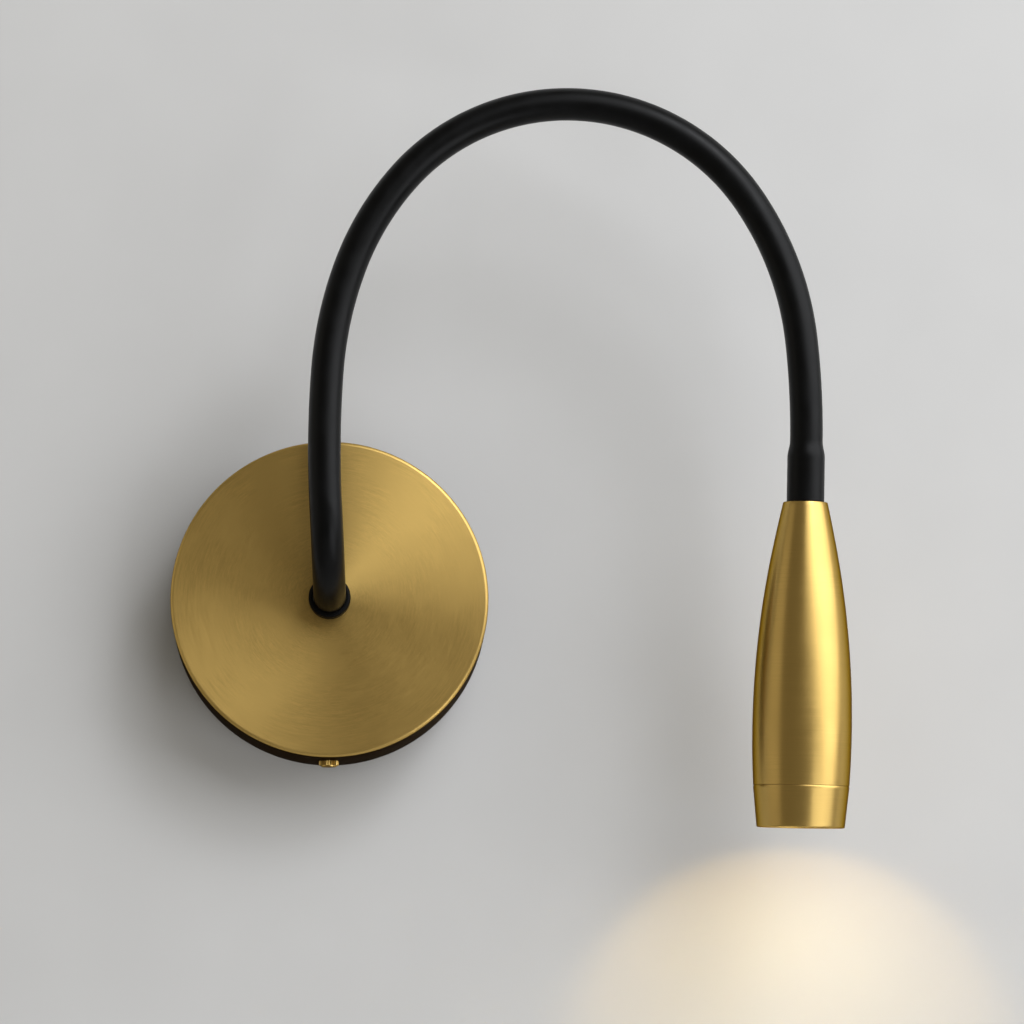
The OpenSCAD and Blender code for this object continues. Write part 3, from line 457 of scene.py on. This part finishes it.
def brushed_metal(name, colour, axis, centre, rough, lines, depth, pull=0.0, contrast=0.12, streaks=2.0):
    """Metal with fine lines round an axis. Its highlights are drawn out across the lines by pull."""
    material, tree, surface, where = new_material(
        name, Metallic=1.0, Anisotropic=pull, Anisotropic_Rotation=0.25, Specular_Tint=(0.2, 0.16, 0.1, 1.0),
    )
    centred, turned_place = upright(tree, where, centre, axis)
    worked = place_group(tree, turned_lines_group(), turned_place, Lines=lines, Streaks=streaks)
    handled = place_group(tree, grain_group(), where, Size=0.0006)
    base = mixed(tree, worked.outputs["Shade"], scaled(colour, 1 - contrast), scaled(colour, 1 + contrast))
    tone = mixed(tree, handled.outputs["Shade"], base, scaled(colour, 0.96))
    link(tree, tone, surface.inputs["Base Color"])
    toned = maths(tree, "MULTIPLY", worked.outputs["Shade"], handled.outputs["Shade"])
    link(tree, ranged(tree, toned, rough - 0.03, rough + 0.06), surface.inputs["Roughness"])
    bump(tree, surface, worked.outputs["Height"], 0.5, depth)
    if pull:
        turn = add(tree, "ShaderNodeVectorTransform", convert_from="OBJECT", convert_to="WORLD")
        turn.vector_type = "VECTOR"
        link(tree, vectors(tree, "CROSS_PRODUCT", axis, centred), turn.inputs[0])
        link(tree, turn.outputs[0], surface.inputs["Tangent"])
    return material


def moulded(name, colour, rough, size=0.0003, depth=0.00002, contrast=0.12, **values):
    """Plastic, rubber or silicone with a fine grain and a slow change of tone."""
    material, tree, surface, where = new_material(name, **values)
    grained = place_group(tree, grain_group(), where, Size=size)
    tone = mixed(tree, grained.outputs["Shade"], scaled(colour, 1 - contrast), scaled(colour, 1 + contrast))
    link(tree, tone, surface.inputs["Base Color"])
    gloss = ranged(tree, grained.outputs["Shade"], rough - 0.04, rough + 0.04)
    link(tree, gloss, surface.inputs["Roughness"])
    bump(tree, surface, grained.outputs["Height"], 0.4, depth)
    return material


def finish(piece, body, slot, material, *nodes):
    """Gives a new piece its material and body, and hides the CAD nodes that it stands for. Slot is not used.
    """
    piece.data.materials.append(material)
    if nodes:
        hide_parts(*nodes)
    if body:
        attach(piece, body)
    return piece


def dress(node, material):
    """Gives a CAD node its material."""
    piece = frame["nodes"][node]
    for place in piece.material_slots:
        place.material = material


# The canopy's axis, and the frame on the wall whose Z runs along it
WALL_AXIS = (0.0, -1.0, 0.0)
WALL_FRAME = rows(1, 0, 0, 0, 0, 0, -1, 0, 0, 1, 0, 0, 0, 0, 0, 1)


# Pieces

class SCONCE_OT_canopy(Operator):
    """Spun brass canopy, and the two knurled screws in its side"""

    bl_idname = "sconce.canopy"
    bl_label = "Canopy"

    def execute(self, context):
        size = settings()
        r, h, t, e = size.canopy_radius, size.canopy_depth, size.canopy_wall, size.canopy_edge
        hole = 5.0 * MM
        inner_edge = 0.8 * MM
        foot = 0.25 * MM
        outline = np.vstack([
            arc(r - foot, foot, foot, -90, 0, 4), arc(r - e, h - e, e, 0, 90, 12),
            line((hole, h), (hole, h - t)), arc(r - t - inner_edge, h - t - inner_edge, inner_edge, 90, 0, 8),
            line((r - t, 0)),
        ])
        brass = brushed_metal(
            "brushed_brass", tuple(size.brass), WALL_AXIS, (0, 0, 0), 0.40, 4200.0, 0.000008,
            pull=0.72, contrast=0.10, streaks=13.0,
        )
        self.darken_side(brass, tuple(size.dark))
        finish(turned("canopy_shell", outline, WALL_FRAME, 256), "base", "satin_brass", brass, "canopy")
        up, middle = (0, 0, 1), (0, 0, 0)
        screw_brass = brushed_metal("screw_brass", tuple(size.brass), up, middle, 0.3, 4000.0, 0.00001)
        dress("canopy_screws", screw_brass)
        return {"FINISHED"}

    @staticmethod
    def darken_side(material, dark):
        """Bronzes the side's outer face: behind the rounded edge, and outside the middle of the brass."""
        size = settings()
        tree = material.node_tree
        surface = tree.nodes["Principled BSDF"]
        where = tree.nodes.new("ShaderNodeTexCoord").outputs["Object"]
        radius = off_axis(tree, where, (1, 0, 1))[1]
        outer = maths(tree, "GREATER_THAN", radius, size.canopy_radius - size.canopy_wall / 2)
        place = tree.nodes.new("ShaderNodeSeparateXYZ")
        link(tree, where, place.inputs[0])
        shoulder = size.canopy_edge - size.canopy_depth
        behind = ranged(tree, place.outputs["Y"], 0.0, 1.0, shoulder - 0.5 * MM, shoulder - 0.2 * MM)
        bright = surface.inputs["Base Color"].links[0].from_socket
        side = maths(tree, "MULTIPLY", outer, behind)
        link(tree, mixed(tree, side, bright, dark), surface.inputs["Base Color"])


class SCONCE_OT_collar(Operator):
    """Black collar where the hose leaves the canopy"""

    bl_idname = "sconce.collar"
    bl_label = "Collar"

    def execute(self, context):
        size = settings()
        r, edge = size.collar_radius, 0.9 * MM
        low, high = size.canopy_depth + 0.05 * MM, size.canopy_depth + size.collar_length
        bore = size.sleeve_radius + 0.15 * MM
        flange, flange_top = size.sleeve_radius + 0.65 * MM, low + 1.65 * MM
        outline = np.vstack([
            line((flange, low), (r - 0.1 * MM, low), (r, low + 0.1 * MM)),
            arc(r - edge, high - edge, edge, 0, 90, 12),
            line((bore, high), (bore, flange_top), (flange, flange_top)),
        ])
        black = moulded(
            "satin_black_paint", (0.002, 0.002, 0.002), 0.5, 0.0002, 0.00001, Specular_IOR_Level=0.08,
        )
        finish(turned("collar", outline, WALL_FRAME, 96), "base", "black_collar", black, "base_collar")
        return {"FINISHED"}


class SCONCE_OT_sleeve(Operator):
    """Black silicone sleeve, in lengths that each reach across one hinge of the arm"""

    bl_idname = "sconce.sleeve"
    bl_label = "Silicone sleeve"

    def execute(self, context):
        size = settings()
        starts, lengths = arm_starts()
        silicone = moulded(
            "matte_silicone", tuple(size.silicone), 0.37, 0.00025, 0.000008, 0.15, Specular_IOR_Level=0.16,
        )
        middles = [(a + b) / 2 for a, b in zip(lengths, lengths[1:])]
        cuts = [-3.2 * MM] + middles + [lengths[-1] + size.flare_length - 0.15 * MM]
        step = 0.7 * MM
        taper = 5 * MM
        for k, (a, b) in enumerate(zip(cuts, cuts[1:])):
            s = np.linspace(a, b, max(3, round((b - a) / step)))
            grown = np.clip((s - lengths[-1]) / taper, 0, 1)
            grown = grown * grown * (3 - 2 * grown)
            outer = size.sleeve_radius + grown * (size.flare_radius - size.sleeve_radius)
            piece = hose(f"sleeve_{k:02d}", s, outer, outer - size.sleeve_wall)
            self.carry(piece, k, starts)
            finish(piece, None, "black_silicone", silicone, "arm_sleeve")
        return {"FINISHED"}

    @staticmethod
    def carry(piece, k, starts):
        """The first length rides on the base and the last on the head. The others stay where they are made,
        on no body.
        """
        if k == 0:
            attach(piece, BODIES[0])
        elif k == len(BENDS):
            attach(piece, BODIES[-1])
        else:
            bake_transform(piece)


class SCONCE_OT_lead(Operator):
    """Two-core lead from the connector in the canopy to the LED board, in lengths along the arm"""

    bl_idname = "sconce.lead"
    bl_label = "Lead"

    def execute(self, context):
        starts, lengths = arm_starts()
        sheath = moulded("lead_sheath", (0.03, 0.03, 0.03), 0.5, 0.0002, 0.00001)
        behind = smooth_run(LEAD_BEHIND, 8)
        head = head_frame()
        route = np.array([(x, 0, w) for x, w in LEAD_IN_HEAD])
        inside = smooth_run(route, 8) @ head[:3, :3].T + head[:3, 3]
        middles = [(a + b) / 2 for a, b in zip(lengths, lengths[1:])]
        cuts = [0.0] + middles + [lengths[-1]]
        step = 2.5 * MM
        for k, (a, b) in enumerate(zip(cuts, cuts[1:])):
            s = np.linspace(a, b, max(4, round((b - a) / step)))
            line_points = arm_frames(s)[:, :3, 3]
            if k == 0:
                line_points = np.vstack([behind, line_points])
            if k == len(BENDS):
                line_points = np.vstack([line_points[:-1], inside])
            piece = cable(f"lead_{k:02d}", line_points, LEAD_R)
            SCONCE_OT_sleeve.carry(piece, k, starts)
            finish(piece, None, "lead_black", sheath, "arm_lead")
        return {"FINISHED"}


def shell_outline(inset, low, high, steps):
    """The head's side from height low to high: the neck's long arc, then the fuller arc of the belly."""
    size = settings()
    slope, sweep = math.radians(12.9), math.radians(1.6)
    neck, belly = 0.500, 0.290
    end_w = neck * (math.sin(slope) - math.sin(slope - sweep))
    end_r = size.neck_radius + neck * (math.cos(slope - sweep) - math.cos(slope))
    w = np.linspace(low, high, steps)
    neck_w, neck_r = neck * math.sin(slope), size.neck_radius - neck * math.cos(slope)
    on_neck = neck_r + np.sqrt((neck - inset) ** 2 - (w - neck_w) ** 2)
    belly_w, belly_r = end_w + belly * math.sin(slope - sweep), end_r - belly * math.cos(slope - sweep)
    on_belly = belly_r + np.sqrt((belly - inset) ** 2 - (w - belly_w) ** 2)
    return np.stack([np.where(w < end_w, on_neck, on_belly), w], 1)


class SCONCE_OT_head(Operator):
    """Turned brass shell and bezel ring of the head"""

    bl_idname = "sconce.head"
    bl_label = "Head"

    def execute(self, context):
        size = settings()
        place = head_frame()
        axis, top = tuple(place[:3, 2]), tuple(place[:3, 3])
        brass = brushed_metal(
            "turned_brass", tuple(size.brass), axis, top, 0.32, 7000.0, 0.0000015, pull=0.5, contrast=0.05,
        )
        bore, boss = 4.03 * MM, 12 * MM
        edge, end_edge = 0.3 * MM, 0.12 * MM
        length = size.shell_length
        outside = shell_outline(0, edge, length - end_edge, 90)
        inside = shell_outline(size.shell_wall, boss, length, 40)[::-1]
        outline = np.vstack([
            line((bore, 0), (size.neck_radius - edge * 0.8, 0), (size.neck_radius - edge * 0.1, edge * 0.3)),
            outside, line((outside[-1, 0] - end_edge, length)), inside, line((bore, boss)),
        ])
        finish(turned("shell", outline, place, 256), "head", "satin_brass", brass, "head_shell")
        bezel = turned("bezel", self.bezel_outline(outside[-1, 0]), place, 256)
        finish(bezel, "head", "satin_brass", brass, "bezel_ring")
        return {"FINISHED"}

    @staticmethod
    def bezel_outline(r):
        """The ring's section: spigot, bevel, tapered side from radius r, rolled lip, mouth and ledge."""
        size = settings()
        low, high = size.shell_length + 0.05 * MM, size.shell_length + size.ring_length
        end, lip = 13.7 * MM, 0.9 * MM
        bevel, bevel_length = 0.12 * MM, 0.4 * MM
        spigot, seat, ledge = 13.35 * MM, 11.8 * MM, 10.7 * MM
        recess, front, back = high - 6 * MM, high - 7 * MM + 0.05 * MM, low - 7.05 * MM
        tip = lip / 2
        taper = np.stack([np.linspace(r, end, 24), np.linspace(low + bevel_length, high - tip, 24)], 1)
        return np.vstack([
            line((spigot, back), (spigot, low), (r - bevel, low)), taper,
            arc(end - tip, high - tip, tip, 0, 180, 12)[1:],
            line((seat + 0.3 * MM, recess), (ledge, recess), (ledge, front), (seat, front), (seat, back)),
        ])


class SCONCE_OT_light_engine(Operator):
    """Lit lens, its holder, and the LED board and heat sink behind it"""

    bl_idname = "sconce.light_engine"
    bl_label = "Light engine"

    def execute(self, context):
        size = settings()
        place = head_frame()
        axis, top = tuple(place[:3, 2]), tuple(place[:3, 3])
        warm = tuple(size.glow)
        dress("lens", self.lit_lens(warm, axis, top))
        dress("lens_holder", moulded("holder_black", (0.02, 0.02, 0.02), 0.45))
        aluminium = brushed_metal("sink_aluminium", (0.72, 0.73, 0.74), axis, top, 0.38, 3000.0, 0.00001)
        dress("heat_sink", aluminium)
        dress("thermal_pad", moulded("thermal_pad_grey", (0.5, 0.55, 0.6), 0.7))
        dress("led_board", moulded("board_white", (0.8, 0.8, 0.78), 0.35))
        phosphor = moulded(
            "phosphor", (0.95, 0.72, 0.2), 0.4, Emission_Color=warm + (1.0,), Emission_Strength=3.0,
        )
        dress("led_emitter", phosphor)
        return {"FINISHED"}

    @staticmethod
    def lit_lens(warm, axis, top):
        """Clear plastic that glows with the lamp's light, strongest in the middle of its front."""
        lens_radius = 11.6 * MM
        material, tree, surface, where = new_material(
            "lit_lens", Transmission_Weight=0.6, IOR=1.49, Emission_Strength=14.0,
        )
        place = upright(tree, where, top, axis)[1]
        rings = place_group(tree, turned_lines_group(), place, Lines=900.0, Streaks=0.0)
        radius = off_axis(tree, place, (1, 1, 0))[1]
        glow = ranged(tree, radius, 1.0, 0.45, 0.0, lens_radius)
        tone = mixed(tree, rings.outputs["Shade"], (0.9, 0.9, 0.86), (0.97, 0.97, 0.95))
        link(tree, mixed(tree, glow, scaled(warm, 0.5), warm), surface.inputs["Emission Color"])
        link(tree, tone, surface.inputs["Base Color"])
        link(tree, ranged(tree, rings.outputs["Shade"], 0.08, 0.2), surface.inputs["Roughness"])
        bump(tree, surface, rings.outputs["Height"], 0.3, 0.0001)
        return material


class SCONCE_OT_wall_side(Operator):
    """Finishes of the wall plate, the driver, the wiring and the arm's steel parts"""

    bl_idname = "sconce.wall_side"
    bl_label = "Wall side"

    def execute(self, context):
        middle = (0, 0, 0)
        steel = brushed_metal("machined_steel", (0.5, 0.5, 0.51), WALL_AXIS, middle, 0.34, 3500.0, 0.00001)
        brass = brushed_metal("machined_brass", (0.63, 0.47, 0.2), WALL_AXIS, middle, 0.33, 3500.0, 0.00001)
        kinds = {
            "zinc_steel": self.zinc_plate(),
            "plain_brass": brass,
            "core_steel": steel,
            "white_plastic": moulded("white_plastic", (0.8, 0.8, 0.77), 0.4),
            "black_silicone": moulded("grommet_rubber", (0.02, 0.02, 0.02), 0.65),
            "black_plastic": moulded("black_plastic", (0.03, 0.03, 0.03), 0.5),
            "circuit_board": moulded("circuit_board", (0.03, 0.18, 0.08), 0.35),
            "lead_black": moulded("wire_black", (0.03, 0.03, 0.03), 0.5),
            "lead_brown": moulded("wire_brown", (0.22, 0.1, 0.05), 0.45),
            "lead_green": moulded("wire_green", (0.35, 0.42, 0.05), 0.45),
        }
        done = {
            "canopy_screws", "lens", "lens_holder", "heat_sink", "thermal_pad", "led_board", "led_emitter",
        }
        for part in frame["record"]["subparts"]:
            if part["node"] not in done and part["material_slot"] in kinds:
                dress(part["node"], kinds[part["material_slot"]])
        return {"FINISHED"}

    @staticmethod
    def zinc_plate():
        """Zinc-plated sheet: cells of slightly different tone and gloss."""
        material, tree, surface, where = new_material("zinc_plate", Metallic=1.0)
        cells = add(tree, "ShaderNodeTexVoronoi", Scale=220.0)
        link(tree, where, cells.inputs["Vector"])
        tone = tree.nodes.new("ShaderNodeSeparateColor")
        link(tree, cells.outputs["Color"], tone.inputs[0])
        shade = mixed(tree, tone.outputs[0], (0.50, 0.52, 0.54), (0.64, 0.66, 0.67))
        link(tree, shade, surface.inputs["Base Color"])
        link(tree, ranged(tree, tone.outputs[1], 0.32, 0.5), surface.inputs["Roughness"])
        grained = place_group(tree, grain_group(), where, Size=0.0008)
        bump(tree, surface, grained.outputs["Height"], 0.3, 0.00003)
        return material


class SCONCE_OT_stage(Operator):
    """Camera, soft studio lights, and a plain wall that curves into a floor far below"""

    bl_idname = "sconce.stage"
    bl_label = "Stage"

    def execute(self, context):
        self.camera(context)
        self.backdrop()
        self.lights(context)
        self.world(context)
        context.scene.view_settings.view_transform = "Standard"
        return {"FINISHED"}

    @staticmethod
    def camera(context):
        """In front of the canopy and slightly below it, turned so that the arm is in the frame's middle."""
        data = bpy.data.cameras.new("camera")
        data.sensor_width = 36.0
        data.lens = 201.2
        data.clip_start, data.clip_end = 0.1, 20.0
        camera = bpy.data.objects.new("camera", data)
        distance, below = 1.8, math.radians(7.2)
        tilt, turn = 8.07, -1.84
        front = -settings().canopy_depth
        camera.location = (0, front - distance * math.cos(below), -distance * math.sin(below))
        camera.rotation_euler = (math.radians(90 + tilt), 0, math.radians(turn))
        context.scene.collection.objects.link(camera)
        context.scene.camera = camera

    @staticmethod
    def backdrop():
        """The wall just behind the canopy's foot, a quarter bend and the floor: one sheet swept along X."""
        low, bend_r, reach, top, half = -1.1, 0.3, 3.2, 0.8, 0.6
        behind = 0.2 * MM
        wall = line((behind, top), (behind, low + bend_r))
        corner = arc(-bend_r, low + bend_r, bend_r, 0, -90, 24)[1:] + (behind, 0)
        side = np.vstack([wall, corner, line((-reach, low))])
        n = len(side)
        x = np.tile((-half, half), (n, 1))
        grid = np.stack([x, np.repeat(side[:, :1], 2, 1), np.repeat(side[:, 1:], 2, 1)], -1)
        faces = [(2 * k, 2 * k + 1, 2 * k + 3, 2 * k + 2) for k in range(n - 1)]
        mesh = bpy.data.meshes.new("backdrop")
        mesh.from_pydata(grid.reshape(-1, 3).tolist(), [], faces)
        mesh.polygons.foreach_set("use_smooth", np.ones(n - 1, bool))
        sheet = bpy.data.objects.new("backdrop", mesh)
        bpy.context.scene.collection.objects.link(sheet)
        mesh.materials.append(SCONCE_OT_stage.wall_paint())
        if mesh.polygons[0].normal.y > 0:
            mesh.flip_normals()

    @staticmethod
    def wall_paint():
        """Plain paint, clear from behind and close by, so that the back is seen and lit through it."""
        material, tree, surface, where = new_material("wall_paint", Roughness=1.0, Specular_IOR_Level=0.0)
        grained = place_group(tree, grain_group(), where, Size=0.002)
        wall = tuple(settings().wall)
        tone = mixed(tree, grained.outputs["Shade"], scaled(wall, 0.985), scaled(wall, 1.01))
        link(tree, tone, surface.inputs["Base Color"])
        bump(tree, surface, grained.outputs["Height"], 0.15, 0.00005)
        rays = tree.nodes.new("ShaderNodeLightPath")
        side = tree.nodes.new("ShaderNodeNewGeometry")
        clear = tree.nodes.new("ShaderNodeBsdfTransparent")
        mix = tree.nodes.new("ShaderNodeMixShader")
        close_by = maths(tree, "LESS_THAN", rays.outputs["Ray Length"], 2 * MM)
        hidden = maths(tree, "MAXIMUM", side.outputs["Backfacing"], rays.outputs["Is Shadow Ray"])
        link(tree, maths(tree, "MAXIMUM", hidden, close_by), mix.inputs[0])
        link(tree, surface.outputs[0], mix.inputs[1])
        link(tree, clear.outputs[0], mix.inputs[2])
        link(tree, mix.outputs[0], tree.nodes["Material Output"].inputs["Surface"])
        return material

    @staticmethod
    def lights(context):
        """A broad softbox and a small key on the upper right, a low softbox on the right, a weak fill on the
        left, and the lamp's own light, which rides on the head."""
        cool, warm = (0.98, 1.0, 1.04), (1.0, 0.95, 0.85)
        SCONCE_OT_stage.area("softbox", (1.12, -0.86, 0.70), (2.8, 1.6), 21.0, -35, cool)
        SCONCE_OT_stage.area("low_softbox", (1.00, -1.00, -0.75), (1.0, 0.9), 3.0, 0, cool)
        SCONCE_OT_stage.area("key", (0.73, -1.01, 1.01), (0.4, 0.4), 1.7, 0, cool)
        SCONCE_OT_stage.area("fill", (-1.35, -0.45, 0.10), (1.0, 1.4), 0.75, 0, warm)
        SCONCE_OT_stage.lamp(context)

    @staticmethod
    def lamp(context):
        """The lamp's light, from just below its mouth. It falls off with the slant of the wall alone, as a
        beam from a lens does close by, and it leans towards the wall, where the photographed pool is."""
        size = settings()
        place = head_frame()
        mouth = Vector(place[:3, 3] + place[:3, 2] * (size.shell_length + size.ring_length + 0.5 * MM))
        aim = Vector((0, 0.80, -0.6))
        data = bpy.data.lights.new("lamp", "SPOT")
        data.energy = 13.0
        data.color = tuple(size.lamp)
        data.spot_size = math.radians(76)
        data.spot_blend = 0.35
        data.shadow_soft_size = 0.004
        data.use_nodes = True
        tree = data.node_tree
        falloff = add(tree, "ShaderNodeLightFalloff", Strength=1.0)
        link(tree, falloff.outputs["Constant"], tree.nodes["Emission"].inputs["Strength"])
        lamp = bpy.data.objects.new("lamp", data)
        lamp.location = mouth
        lamp.rotation_euler = aim.to_track_quat("-Z", "Y").to_euler()
        lamp.scale = (1.45, 1, 1)
        context.scene.collection.objects.link(lamp)
        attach(lamp, "head")

    @staticmethod
    def area(name, location, spread, energy, roll, colour):
        """A rectangular light of that width and height. It faces the object's middle, rolled by degrees."""
        data = bpy.data.lights.new(name, "AREA")
        data.shape = "RECTANGLE"
        data.size, data.size_y = spread
        data.energy = energy
        data.color = colour
        data.spread = math.radians(130)
        light = bpy.data.objects.new(name, data)
        light.location = location
        facing = (Vector((0.05, -0.05, 0.0)) - Vector(location)).to_track_quat("-Z", "Y")
        light.rotation_euler = (facing @ Quaternion((0, 0, 1), math.radians(roll))).to_euler()
        light.visible_camera = False
        bpy.context.scene.collection.objects.link(light)

    @staticmethod
    def world(context):
        """Even dim light from all round."""
        world = bpy.data.worlds.new("studio")
        world.use_nodes = True
        dim = world.node_tree.nodes["Background"]
        dim.inputs["Color"].default_value = (1.0, 0.91, 0.74, 1.0)
        dim.inputs["Strength"].default_value = 0.2
        context.scene.world = world


OPERATORS = (
    SCONCE_OT_stage, SCONCE_OT_canopy, SCONCE_OT_collar, SCONCE_OT_sleeve, SCONCE_OT_lead, SCONCE_OT_head,
    SCONCE_OT_light_engine, SCONCE_OT_wall_side,
)


class SCONCE_PT_pieces(Panel):
    """The sidebar's list of pieces and sizes"""

    bl_idname = "SCONCE_PT_pieces"
    bl_label = "Wall sconce"
    bl_space_type = "VIEW_3D"
    bl_region_type = "UI"
    bl_category = "Wall sconce"

    def draw(self, context):
        for name in SconceSettings.__annotations__:
            self.layout.prop(context.scene.sconce, name)
        for made in OPERATORS:
            self.layout.operator(made.bl_idname)


CLASSES = (SconceSettings,) + OPERATORS + (SCONCE_PT_pieces,)


def register():
    for made in CLASSES:
        bpy.utils.register_class(made)
    bpy.types.Scene.sconce = PointerProperty(type=SconceSettings)


def unregister():
    del bpy.types.Scene.sconce
    for made in reversed(CLASSES):
        bpy.utils.unregister_class(made)


def main():
    """Makes the stage and each piece in order."""
    register()
    bpy.ops.sconce.stage()
    bpy.ops.sconce.canopy()
    bpy.ops.sconce.collar()
    bpy.ops.sconce.sleeve()
    bpy.ops.sconce.lead()
    bpy.ops.sconce.head()
    bpy.ops.sconce.light_engine()
    bpy.ops.sconce.wall_side()


if __name__ == "__main__":
    main()
